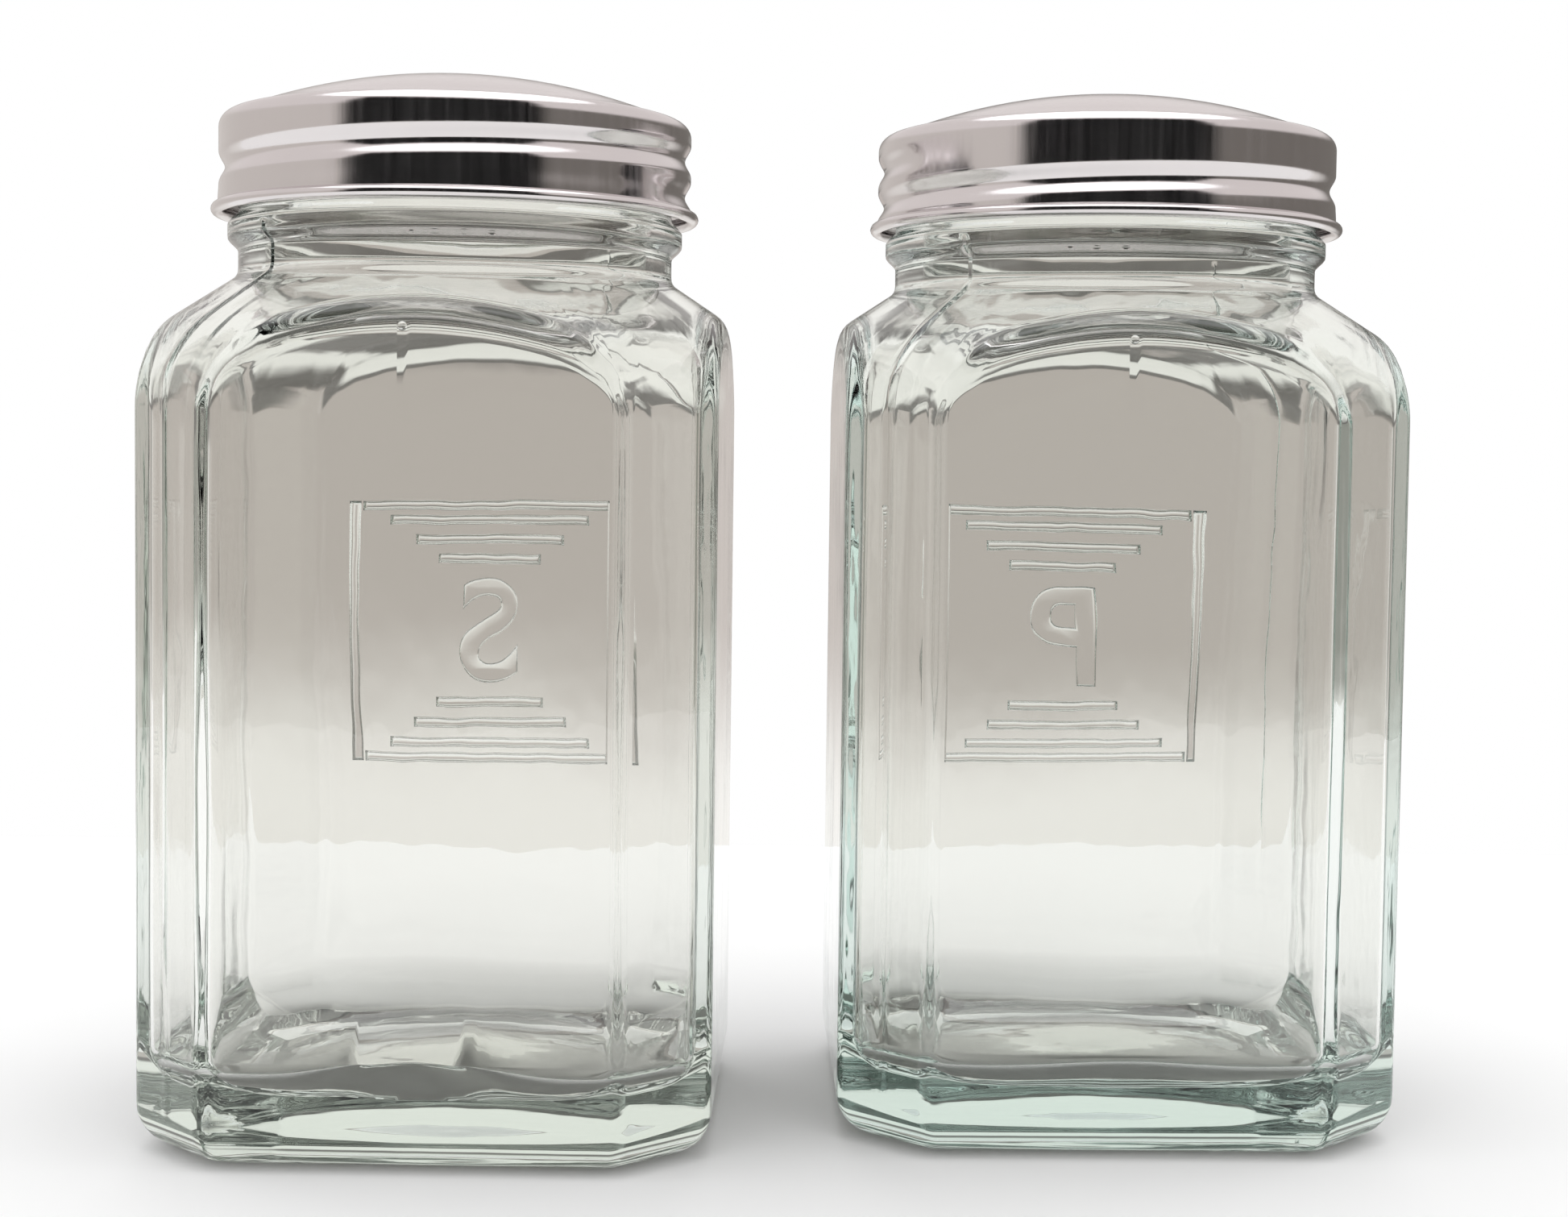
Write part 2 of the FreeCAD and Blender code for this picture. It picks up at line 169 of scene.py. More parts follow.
class ShakerSealSettings(bpy.types.PropertyGroup):
    inner_radius: length("Inner radius", "Inside of the seal ring", 22.6)
    rounding: length("Rounding", "Roundness of the ring's edges", 0.22)
    tint: colour("Seal", "Colour of the soft ring", (0.78, 0.76, 0.70))


class ShakerStageSettings(bpy.types.PropertyGroup):
    camera_height: length("Camera height", "Camera above the table", 75.98)
    camera_distance: length("Camera distance", "Camera in front of the pair", 299.3)
    camera_side: length("Camera side", "Camera to the right of the middle", 0.37)
    pitch: angle("Pitch", "How far the camera looks down", 3.257)
    roll: angle("Roll", "Turn of the camera about its view", 0.718)
    lens: bpy.props.FloatProperty(name="Lens", description="Focal length", default=57.56,
                                  min=1.0, unit="CAMERA")
    floor_width: length("Floor width", "Width of the pale floor", 1000.0)
    floor_behind: length("Floor behind", "How far the floor runs behind the pair", 200.0)
    wall: colour("Wall", "Colour of the wall behind the pair", (0.60, 0.55, 0.52))
    shade: colour("Shade", "Colour of the room's darker corners", (0.34, 0.34, 0.31))
    window: colour("Window", "Colour of the bright sides of the room", (1.1, 1.1, 1.07))
    ledge: colour("Ledge", "Colour of the dim stretch at the top of the wall", (0.20, 0.19, 0.18))
    ceiling: colour("Ceiling", "Colour of the ceiling right above the pair", (0.12, 0.12, 0.11))
    table: colour("Table", "Colour of the table beyond the floor", (0.95, 0.93, 0.90))
    steel_left: colour("Left side", "What the steel reflects on the left", (0.72, 0.68, 0.65))
    steel_right: colour("Right side", "What the steel reflects on the right", (0.20, 0.185, 0.17))
    behind: colour("Behind", "What the steel reflects above and behind the pair", (0.86, 0.81, 0.80))
    skylight: colour("Skylight", "Colour of the bright slope beyond the pair", (1.00, 1.00, 0.96))
    dark: colour("Dark room", "Colour of the unlit part of the room", (0.003, 0.003, 0.003))
    fill: colour("Fill", "Even light on matt surfaces", (1.12, 1.12, 1.12))


# ---------------------------------------------------------------------------------------
# Modelling helpers
# ---------------------------------------------------------------------------------------

def deselect():
    if bpy.context.mode != "OBJECT":
        bpy.ops.object.mode_set(mode="OBJECT")
    bpy.ops.object.select_all(action="DESELECT")


def select(*objects):
    deselect()
    for obj in objects:
        obj.select_set(True)
    bpy.context.view_layer.objects.active = objects[0]


def newest(name):
    obj = bpy.context.object
    obj.name = name
    obj.data.name = name
    return obj


def apply_modifier(obj, kind, **values):
    select(obj)
    modifier = obj.modifiers.new(kind.title(), kind)
    for key, value in values.items():
        setattr(modifier, key, value)
    bpy.ops.object.modifier_apply(modifier=modifier.name)


def face_outwards(obj):
    """Merges doubled points and turns the faces outward; a thin wall is given after this, not before."""
    select(obj)
    bpy.ops.object.mode_set(mode="EDIT")
    bpy.ops.mesh.select_all(action="SELECT")
    bpy.ops.mesh.remove_doubles(threshold=1e-7)
    bpy.ops.mesh.normals_make_consistent(inside=False)
    bpy.ops.object.mode_set(mode="OBJECT")


def face_upwards(obj):
    """Turns an open, domed skin so that its topmost face looks up."""
    top = max(obj.data.polygons, key=lambda face: face.center.z)
    if top.normal.z < 0:
        select(obj)
        bpy.ops.object.mode_set(mode="EDIT")
        bpy.ops.mesh.select_all(action="SELECT")
        bpy.ops.mesh.flip_normals()
        bpy.ops.object.mode_set(mode="OBJECT")


def smooth(obj, degrees):
    select(obj)
    bpy.ops.object.shade_smooth_by_angle(angle=math.radians(degrees))


def settle(obj, turn, place):
    """Turns a piece about its axis and stands it in its place, with the place kept in the mesh."""
    obj.data.transform(Matrix.Translation(place) @ Matrix.Rotation(turn, 4, "Z"))


def bearing(point):
    return math.atan2(point.y, point.x) % math.tau


def ringed(name, bearings, rings, close_start, close_end):
    """A skin drawn out ring by ring: the first ring is a circle, and each next ring is extruded from
    the last and pulled to its own radius and height.  rings holds one (radius, height) per bearing."""
    deselect()
    bpy.ops.mesh.primitive_circle_add(vertices=len(bearings), radius=1.0, fill_type="NOTHING")
    obj = newest(name)
    bpy.ops.object.mode_set(mode="EDIT")
    bpy.ops.mesh.select_all(action="SELECT")
    for number, ring in enumerate(rings):
        if number:
            bpy.ops.mesh.extrude_edges_move()
        mesh = bmesh.from_edit_mesh(obj.data)
        loop = [v for v in mesh.verts if v.select]
        loop.sort(key=lambda v: bearing(v.co))
        for vertex, turn, (radius, height) in zip(loop, bearings, ring):
            vertex.co = (radius * math.cos(turn), radius * math.sin(turn), height)
        if number == 0 and close_start:
            bpy.ops.mesh.edge_face_add()
            bpy.ops.mesh.select_all(action="DESELECT")
            mesh = bmesh.from_edit_mesh(obj.data)
            for edge in mesh.edges:
                edge.select_set(True)
        bmesh.update_edit_mesh(obj.data)
    if close_end:
        bpy.ops.mesh.edge_face_add()
    bpy.ops.object.mode_set(mode="OBJECT")
    face_outwards(obj)
    return obj


def even_bearings(count):
    """Bearings a little off the compass points, so that none falls on the seam of the turn."""
    return [math.tau * (i + 0.5) / count for i in range(count)]


def steps(count, first=0.0, last=1.0):
    return [first + (last - first) * i / (count - 1) for i in range(count)]


def soft_step(low, high, value):
    t = min(max((value - low) / (high - low), 0.0), 1.0)
    return t * t * (3 - 2 * t)


def helix_height(turn, start, turns, base, pitch, height):
    """Heights of the helix at a bearing, nearest first, with how much of the thread is there."""
    best, share = None, 0.0
    fraction = ((turn - start) % math.tau) / math.tau
    for lap in (-1, 0, 1, 2):
        along = fraction + lap
        fade = soft_step(-0.03, 0.03, along) * (1 - soft_step(turns - 0.03, turns + 0.03, along))
        offset = height - (base + pitch * along)
        if fade > 0 and (best is None or abs(offset) < abs(best)):
            best, share = offset, fade
    return (0.0, 0.0) if best is None else (best, share)


# ---------------------------------------------------------------------------------------
# Materials
# ---------------------------------------------------------------------------------------

def material(name):
    made = bpy.data.materials.new(name)
    made.use_nodes = True
    tree = made.node_tree
    return made, tree, tree.nodes["Principled BSDF"]


def node(tree, kind, **values):
    made = tree.nodes.new(kind)
    for key, value in values.items():
        if key in made.inputs:
            made.inputs[key].default_value = value
        else:
            setattr(made, key, value)
    return made


def pattern(tree, scale, stretch=(1, 1, 1), detail=3.0):
    """Noise on the piece's own coordinates, stretched along its axes."""
    place = node(tree, "ShaderNodeTexCoord")
    mapping = node(tree, "ShaderNodeMapping")
    mapping.inputs["Scale"].default_value = stretch
    grain = node(tree, "ShaderNodeTexNoise", Scale=scale, Detail=detail)
    tree.links.new(place.outputs["Object"], mapping.inputs["Vector"])
    tree.links.new(mapping.outputs["Vector"], grain.inputs["Vector"])
    return grain.outputs["Fac"]


def spread(tree, source, low, high):
    """Maps a pattern's 0.3 to 0.7 onto a range of values."""
    ranged = node(tree, "ShaderNodeMapRange")
    for socket, value in zip(("From Min", "From Max", "To Min", "To Max"), (0.3, 0.7, low, high)):
        ranged.inputs[socket].default_value = value
    tree.links.new(source, ranged.inputs["Value"])
    return ranged.outputs["Result"]


def bump(tree, shader, source, strength, distance):
    made = node(tree, "ShaderNodeBump", Strength=strength, Distance=distance)
    tree.links.new(source, made.inputs["Height"])
    tree.links.new(made.outputs["Normal"], shader.inputs["Normal"])


def blend_colours(tree, source, first, second):
    mixed = node(tree, "ShaderNodeMix", data_type="RGBA")
    mixed.inputs[6].default_value = (*first, 1)
    mixed.inputs[7].default_value = (*second, 1)
    tree.links.new(source, mixed.inputs[0])
    return mixed.outputs[2]


def pressed_glass(name, tint):
    """Clear, slightly wavy glass whose thick parts take the tint."""
    made, tree, shader = material(name)
    shader.inputs["Base Color"].default_value = (0.915, 0.915, 0.895, 1)
    shader.inputs["Transmission Weight"].default_value = 1.0
    shader.inputs["IOR"].default_value = 1.51
    tree.links.new(spread(tree, pattern(tree, 60.0), 0.0, 0.03), shader.inputs["Roughness"])
    bump(tree, shader, pattern(tree, 55.0, (1, 1, 0.6)), 0.25, 0.0006)
    body = node(tree, "ShaderNodeVolumeAbsorption")
    body.inputs["Color"].default_value = (*tint, 1)
    body.inputs["Density"].default_value = GLASS_DENSITY
    tree.links.new(body.outputs["Volume"], tree.nodes["Material Output"].inputs["Volume"])
    return made


def satin_steel(name, tint):
    """Drawn steel with a fine upright grain on the skirt and small differences in polish."""
    made, tree, shader = material(name)
    shader.inputs["Metallic"].default_value = 1.0
    cloudy = pattern(tree, 90.0)
    worn = tuple(min(1.0, part * 1.08) for part in tint)
    tree.links.new(blend_colours(tree, cloudy, tint, worn), shader.inputs["Base Color"])
    grain = pattern(tree, 1400.0, (1, 1, 0.05), 2.0)
    tree.links.new(spread(tree, grain, 0.11, 0.19), shader.inputs["Roughness"])
    bump(tree, shader, grain, 0.10, 0.00004)
    return made


def soft_seal(name, tint):
    made, tree, shader = material(name)
    shade = tuple(part * 0.88 for part in tint)
    tree.links.new(blend_colours(tree, pattern(tree, 120.0), shade, tint), shader.inputs["Base Color"])
    tree.links.new(spread(tree, pattern(tree, 700.0), 0.55, 0.7), shader.inputs["Roughness"])
    bump(tree, shader, pattern(tree, 2500.0), 0.2, 0.00003)
    return made


def coat(obj, made):
    obj.data.materials.clear()
    obj.data.materials.append(made)


# ---------------------------------------------------------------------------------------
# Glass jars
# ---------------------------------------------------------------------------------------

def wall_radius(s, turn, inset, rounding):
    """How far out the flat-sided wall is at a bearing, moved in by inset."""
    folded = abs((turn + math.pi / 4) % (math.pi / 2) - math.pi / 4)
    face = s.half_width - inset
    cut = (2 * s.half_width - s.corner_cut) / math.sqrt(2) - inset
    x = face - rounding
    y = (cut - rounding) * math.sqrt(2) - x
    first = math.atan2(y, face)
    last = math.atan2(y + rounding / math.sqrt(2), x + rounding / math.sqrt(2))
    if folded <= first:
        return face / math.cos(folded)
    if folded >= last:
        return cut / math.cos(math.pi / 4 - folded)
    along = x * math.cos(folded) + y * math.sin(folded)
    across = x * math.sin(folded) - y * math.cos(folded)
    return along + math.sqrt(max(rounding ** 2 - across ** 2, 0.0))


class Shoulder:
    """The turned shoulder's outline, moved in by inset, measured along its own length."""

    def __init__(self, s, inset):
        slope = s.shoulder_slope
        self.slope = slope
        self.radius = s.shoulder_arc - inset
        self.centre_r = s.girth - s.shoulder_arc
        end_r = self.centre_r + s.shoulder_arc * math.sin(slope)
        end_z = s.neck_foot - (end_r - s.neck_radius) * math.tan(slope)
        self.centre_z = end_z - s.shoulder_arc * math.cos(slope)
        self.bend = self.radius * (math.pi / 2 - slope)
        self.end_r = self.centre_r + self.radius * math.sin(slope)
        self.end_z = self.centre_z + self.radius * math.cos(slope)

    def at(self, along):
        if along <= 0:
            return self.centre_r + self.radius, self.centre_z + along
        if along < self.bend:
            turn = along / self.radius
            return self.centre_r + self.radius * math.cos(turn), self.centre_z + self.radius * math.sin(turn)
        run = along - self.bend
        return self.end_r - run * math.cos(self.slope), self.end_z + run * math.sin(self.slope)

    def where(self, radius):
        if radius >= self.centre_r + self.radius:
            return 0.0
        if radius > self.end_r:
            return self.radius * math.acos((radius - self.centre_r) / self.radius)
        return self.bend + (self.end_r - radius) / math.cos(self.slope)


def curve(a, corner, b, count):
    """Points of a soft corner from a to b."""
    points = []
    for t in steps(count):
        points.append(tuple((1 - t) ** 2 * p + 2 * t * (1 - t) * q + t * t * r
                            for p, q, r in zip(a, corner, b)))
    return points


def neck_outline(s, lid, turn):
    """The neck from its foot to the rim, with its ring and its screw thread."""
    points = []
    foot = s.neck_foot + s.neck_hollow * math.tan((math.pi / 2 - s.shoulder_slope) / 2)
    base = lid.groove_height + THREAD_OVER_GROOVE - THREAD_LEAD * lid.pitch
    start = s.thread_start - THREAD_LEAD * math.tau
    for z in steps(52, foot + 0.3 * MM, RIM_Z - 1.1 * MM):
        away = abs(z - s.bead_height) / s.bead_half
        radius = s.neck_radius + s.bead_proud * (1 - soft_step(0.35, 1.15, away))
        offset, share = helix_height(turn, start, 1.0, base, lid.pitch, z)
        ridge = 1 - soft_step(0.3, 1.0, abs(offset) / s.thread_half)
        points.append((radius + s.thread_proud * ridge * share, z))
    return points


def outer_outline(s, lid, turn):
    """The jar's outside at one bearing, from the middle of the base up to the rim."""
    points = []
    for share in (0.08, 0.3, 0.55, 0.78, 0.93, 0.985):
        radius = s.push_up_radius * share
        points.append((radius, s.push_up_depth * (1 - share ** 2)))
    points.append((s.push_up_radius * 1.025, 0.0))
    for t in steps(9):
        bend = t * math.pi / 2
        inset = s.heel_radius * (1 - math.sin(bend))
        points.append((wall_radius(s, turn, inset, s.edge_radius), s.heel_radius * (1 - math.cos(bend))))
    shoulder = Shoulder(s, 0.0)
    wall = wall_radius(s, turn, 0.0, s.edge_radius)
    meet = shoulder.where(wall)
    corner = shoulder.at(meet)
    below = (wall, corner[1] - OUTER_SOFTNESS)
    for t in steps(7)[1:-1]:
        points.append((wall, s.heel_radius + (below[1] - s.heel_radius) * t))
    points += curve(below, (wall, corner[1]), shoulder.at(meet + OUTER_SOFTNESS), 6)
    hollow = s.neck_hollow * math.tan((math.pi / 2 - s.shoulder_slope) / 2)
    top = shoulder.where(s.neck_radius) - hollow
    for t in steps(12)[1:]:
        points.append(shoulder.at(meet + OUTER_SOFTNESS + (top - meet - OUTER_SOFTNESS) * t))
    neck_start = (s.neck_radius, s.neck_foot + hollow)
    points += curve(shoulder.at(top), (s.neck_radius, s.neck_foot), neck_start, 5)[1:]
    return points + neck_outline(s, lid, turn)


def inner_outline(s, turn, fold):
    """The jar's hollow at one bearing, from the rim down to the middle of the inner floor."""
    outer = s.neck_radius
    lip = 1.0 * MM
    points = curve((outer, RIM_Z - lip), (outer, RIM_Z), (outer - lip, RIM_Z), 5)
    points += curve((s.bore_radius + lip, RIM_Z), (s.bore_radius, RIM_Z), (s.bore_radius, RIM_Z - lip), 5)
    shoulder = Shoulder(s, s.wall)
    turn_in = 1.6 * MM
    top = shoulder.where(s.bore_radius)
    corner = shoulder.at(top)
    for t in steps(8)[1:-1]:
        points.append((s.bore_radius, RIM_Z - lip + (corner[1] + turn_in - RIM_Z + lip) * t))
    points += curve((s.bore_radius, corner[1] + turn_in), corner, shoulder.at(top - turn_in), 5)
    wall = wall_radius(s, turn, s.wall, s.edge_radius)
    meet = shoulder.where(wall)
    for t in steps(12)[1:]:
        points.append(shoulder.at(top - turn_in + (meet + INNER_SOFTNESS - top + turn_in) * t))
    bend_top = (wall, shoulder.at(meet)[1] - INNER_SOFTNESS)
    points += curve(shoulder.at(meet + INNER_SOFTNESS), (wall, shoulder.at(meet)[1]), bend_top, 6)[1:]
    heel_top = s.floor_height + s.inner_heel
    for t in steps(16)[1:-1]:
        points.append((wall, bend_top[1] + (heel_top - bend_top[1]) * t))
    from_front = abs((turn + math.pi * 1.5) % math.tau - math.pi)
    rise = fold * (1 - soft_step(0.0, FOLD_HALF_WIDTH, from_front))
    for t in steps(12):
        bend = (1 - t) * math.pi / 2
        reach = s.floor_radius + (wall - s.floor_radius) * math.sin(bend)
        lift = s.inner_heel * (1 - math.cos(bend)) + rise * math.sin(bend) * math.cos(bend) * 2
        points.append((reach, s.floor_height + lift))
    for share in (0.94, 0.82, 0.66, 0.5, 0.3, 0.12):
        lift = s.floor_hump * (1 - soft_step(0.0, 1.0, share))
        points.append((s.floor_radius * share, s.floor_height + lift))
    return points


def jar_bearings():
    """Bearings that crowd together at the upright edges and at the mould seams."""
    folded = steps(13, 0.0, 33.5)[:-1] + steps(13, 33.5, 39.0)[:-1] + [39.0, 41.0, 43.0, 44.3]
    quarter = folded + [45.0] + [90.0 - turn for turn in reversed(folded)]
    turns = []
    for start in range(0, 360, 90):
        turns += [start + turn for turn in quarter[:-1]]
    return [math.radians(turn + 1e-4) for turn in turns]


def relief_bar(x, z, width, height, depth):
    """One rib of the relief with softened edges, lying against the back face."""
    deselect()
    bpy.ops.mesh.primitive_cube_add(size=1.0, location=(x, depth, z), scale=(width, RELIEF_DEPTH, height))
    bar = newest("relief_bar")
    bpy.ops.object.transform_apply(location=True, rotation=True, scale=True)
    bpy.ops.object.mode_set(mode="EDIT")
    bpy.ops.mesh.select_all(action="DESELECT")
    mesh = bmesh.from_edit_mesh(bar.data)
    outermost = max(mesh.faces, key=lambda face: face.calc_center_median().y)
    outermost.select_set(True)
    bmesh.update_edit_mesh(bar.data)
    bpy.ops.mesh.bevel(offset=RELIEF_BEVEL, segments=4)
    bpy.ops.object.mode_set(mode="OBJECT")
    return bar


def relief_letter(letter, s, depth):
    """The single raised letter, read from behind."""
    deselect()
    bpy.ops.object.text_add(location=(0, 0, 0))
    text = bpy.context.object
    text.data.body = letter
    text.data.size = s.letter_height * 1.4
    text.data.align_x = "CENTER"
    text.data.align_y = "CENTER"
    text.data.extrude = 0.8 * MM
    text.data.bevel_depth = 0.4 * MM
    text.data.bevel_resolution = 3
    bpy.ops.object.convert(target="MESH")
    made = newest("relief_letter")
    corners = [v.co for v in made.data.vertices]
    middle = Vector([(min(c[i] for c in corners) + max(c[i] for c in corners)) / 2 for i in range(3)])
    facing_back = Matrix.Rotation(math.pi, 4, "Z") @ Matrix.Rotation(math.pi / 2, 4, "X")
    made.data.transform(Matrix.Translation((0, depth, s.height)) @ facing_back @ Matrix.Translation(-middle))
    face_outwards(made)
    return made


def add_relief(jar, s, relief, letter):
    depth = s.half_width + relief.proud - RELIEF_DEPTH / 2
    pieces = []
    inner_width = relief.frame_width - relief.rib
    inner_height = relief.frame_height - relief.rib
    for side in (-1, 1):
        pieces.append(relief_bar(side * inner_width / 2, relief.height,
                                 relief.rib, relief.frame_height, depth))
        pieces.append(relief_bar(0, relief.height + side * inner_height / 2,
                                 relief.frame_width - 2.4 * relief.rib, relief.rib, depth))
        for number, width in enumerate((26.0, 20.0, 14.0)):
            z = relief.height + side * (relief.frame_height / 2 - 2.6 * MM * (number + 1))
            pieces.append(relief_bar(0, z, width * MM, relief.rib, depth))
    pieces.append(relief_letter(letter, relief, depth - 0.4 * MM))
    arch = Shoulder(s, 0.0).at(Shoulder(s, 0.0).where(s.half_width))[1]
    deselect()
    bpy.ops.mesh.primitive_uv_sphere_add(segments=16, ring_count=10, radius=s.nib,
                                         location=(-1.0 * MM, 0.2 * MM - s.half_width, arch - 2.4 * MM))
    bpy.ops.object.transform_apply(location=True, rotation=True, scale=True)
    pieces.append(newest("mould_nib"))
    select(*pieces)
    bpy.ops.object.join()
    raised = bpy.context.object
    apply_modifier(jar, "BOOLEAN", object=raised, operation="UNION", solver="MANIFOLD")
    bpy.data.objects.remove(raised)


def shape_jar(name, s, relief, lid, letter, fold):
    bearings = jar_bearings()
    outlines = [outer_outline(s, lid, turn) + inner_outline(s, turn, fold) for turn in bearings]
    rings = [list(ring) for ring in zip(*outlines)]
    jar = ringed(name, bearings, rings, True, True)
    first_inner = len(outer_outline(s, lid, 0.0)) + 12
    diagonal = math.pi / 4
    for vertex in jar.data.vertices:
        flat = math.hypot(vertex.co.x, vertex.co.y)
        if flat < 3 * MM:
            continue
        outward = Vector((vertex.co.x / flat, vertex.co.y / flat, 0))
        turn = bearing(vertex.co)
        seam = abs((turn - diagonal + math.pi / 2) % math.pi - math.pi / 2) < math.radians(0.2)
        inside = vertex.index >= first_inner * len(bearings)
        if seam and not inside and s.heel_radius < vertex.co.z < s.bead_height:
            vertex.co += outward * s.seam
        if inside and s.floor_height + 1 * MM < vertex.co.z < RIM_Z - 3 * MM:
            ease = soft_step(s.floor_height, s.floor_height + 8 * MM, vertex.co.z)
            height = vertex.co.z * 38 + (name == "pepper_glass")
            wave = noise.noise(Vector((vertex.co.x * 55, vertex.co.y * 55, height)))
            vertex.co += outward * s.ripple * wave * 2 * ease
    add_relief(jar, s, relief, letter)
    smooth(jar, 32)
    return jar


class MESH_OT_shaker_jars(bpy.types.Operator):
    """Model both glass jars: walls, thick base, shoulder, neck, thread and raised panel"""
    bl_idname = "mesh.shaker_jars"
    bl_label = "Glass jars"

    def execute(self, context):
        scene = context.scene
        s = scene.shaker_jar
        for name, letter in zip(SHAKERS, "SP"):
            s.thread_start = getattr(scene.shaker_lid, name + "_start")
            jar = shape_jar(name + "_glass", s, scene.shaker_relief, scene.shaker_lid, letter,
                            getattr(s, name + "_fold"))
            settle(jar, getattr(s, name + "_turn"), axis_of(name))
            coat(jar, pressed_glass(name + "_pressed_glass", getattr(s, name + "_tint")))
            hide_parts(name + "_jar")
            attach(jar, name + "_jar")
        return {"FINISHED"}


# ---------------------------------------------------------------------------------------
# Steel lids
# ---------------------------------------------------------------------------------------

def lid_outline(s, turn, start):
    """The lid's outside at one bearing, from the middle of the dome to the end of the curl."""
    rise = LID_HIGH - s.rim_height
    sphere = (s.dome_radius ** 2 + rise ** 2) / (2 * rise)
    points = []
    for share in steps(18, 0.03, 0.985):
        radius = s.dome_radius * share
        points.append((radius, LID_HIGH - sphere + math.sqrt(sphere ** 2 - radius ** 2)))
    ring_inner, ring_start = s.dome_radius + 0.1 * MM, s.dome_radius + 0.5 * MM
    points += curve(points[-1], (ring_inner, s.rim_height), (ring_start, s.rim_height), 4)[1:]
    for t in steps(9):
        bend = t * math.pi / 2
        points.append((s.radius - s.corner * (1 - math.sin(bend)),
                       s.rim_height - s.corner * (1 - math.cos(bend))))
    curl_middle = LID_LOW + s.curl_radius
    low = curl_middle + s.curl_radius * 0.9
    for z in steps(46, s.rim_height - s.corner - 0.2 * MM, low):
        offset, share = helix_height(turn, start, s.groove_turns, s.groove_height, s.pitch, z)
        dip = 0.5 * (1 + math.cos(math.pi * min(abs(offset) / s.groove_half, 1.0)))
        flare = 0.12 * MM * (1 - soft_step(low, low + 2.5 * MM, z))
        points.append((s.radius + flare - s.groove_depth * dip * share, z))
    middle_r = LID_ACROSS / 2 - s.curl_radius
    for t in steps(14):
        bend = math.radians(110 - 290 * t)
        points.append((middle_r + s.curl_radius * math.cos(bend),
                       curl_middle + s.curl_radius * math.sin(bend)))
    return points


def punch(lid, s):
    """Cuts the pouring holes: one in the middle and two rings round it."""
    deselect()
    pins = []
    for ring, count in enumerate((1, 6, 12)):
        for number in range(count):
            turn = math.tau * number / count
            place = (ring * s.hole_ring * math.cos(turn), ring * s.hole_ring * math.sin(turn), LID_HIGH)
            bpy.ops.mesh.primitive_cylinder_add(vertices=24, radius=s.hole_radius, depth=6 * MM,
                                                location=place)
            pins.append(bpy.context.object)
    select(*pins)
    bpy.ops.object.join()
    bpy.ops.object.transform_apply(location=True, rotation=True, scale=True)
    pin = bpy.context.object
    apply_modifier(lid, "BOOLEAN", object=pin, operation="DIFFERENCE", solver="MANIFOLD")
    bpy.data.objects.remove(pin)


def shape_lid(name, s, start):
    bearings = even_bearings(192)
    rings = [list(ring) for ring in zip(*[lid_outline(s, turn, start) for turn in bearings])]
    lid = ringed(name, bearings, rings, True, False)
    face_upwards(lid)
    apply_modifier(lid, "SOLIDIFY", thickness=s.sheet, offset=-1.0, use_even_offset=False)
    punch(lid, s)
    smooth(lid, 40)
    return lid


class MESH_OT_shaker_lids(bpy.types.Operator):
    """Model both steel lids: dome with holes, skirt with its rolled screw groove, and curled edge"""
    bl_idname = "mesh.shaker_lids"
    bl_label = "Steel lids"

    def execute(self, context):
        s = context.scene.shaker_lid
        steel = satin_steel("satin_steel", s.steel)
        for name in SHAKERS:
            lid = shape_lid(name + "_steel_lid", s, getattr(s, name + "_start"))
            settle(lid, getattr(context.scene.shaker_jar, name + "_turn"), axis_of(name))
            coat(lid, steel)
            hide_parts(name + "_lid")
            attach(lid, name + "_lid")
        return {"FINISHED"}


# ---------------------------------------------------------------------------------------
# Seal rings
# ---------------------------------------------------------------------------------------

def shape_seal(name, s, place):
    low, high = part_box("salt_seal_ring")
    outer = (high.x - low.x) / 2
    section = []
    for side_r, side_z, start in ((1, -1, -90), (1, 1, 0), (-1, 1, 90), (-1, -1, 180)):
        for t in steps(4):
            bend = math.radians(start + 90 * t)
            middle_r = (outer if side_r > 0 else s.inner_radius) - side_r * s.rounding
            middle_z = (SEAL_HIGH if side_z > 0 else SEAL_LOW) - side_z * s.rounding
            section.append((middle_r + s.rounding * math.cos(bend), middle_z + s.rounding * math.sin(bend)))
    bearings = even_bearings(128)
    rings = [[point] * len(bearings) for point in section + section[:1]]
    ring = ringed(name, bearings, rings, False, False)
    ring.data.transform(Matrix.Translation(place))
    smooth(ring, 50)
    return ring


class MESH_OT_shaker_seals(bpy.types.Operator):
    """Model the soft seal ring inside each lid"""
    bl_idname = "mesh.shaker_seals"
    bl_label = "Seal rings"

    def execute(self, context):
        s = context.scene.shaker_seal
        made = soft_seal("soft_seal", s.tint)
        for name in SHAKERS:
            ring = shape_seal(name + "_soft_seal", s, axis_of(name))
            coat(ring, made)
            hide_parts(name + "_seal_ring")
            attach(ring, name + "_seal_ring")
        return {"FINISHED"}


# ---------------------------------------------------------------------------------------
# Stage
# ---------------------------------------------------------------------------------------

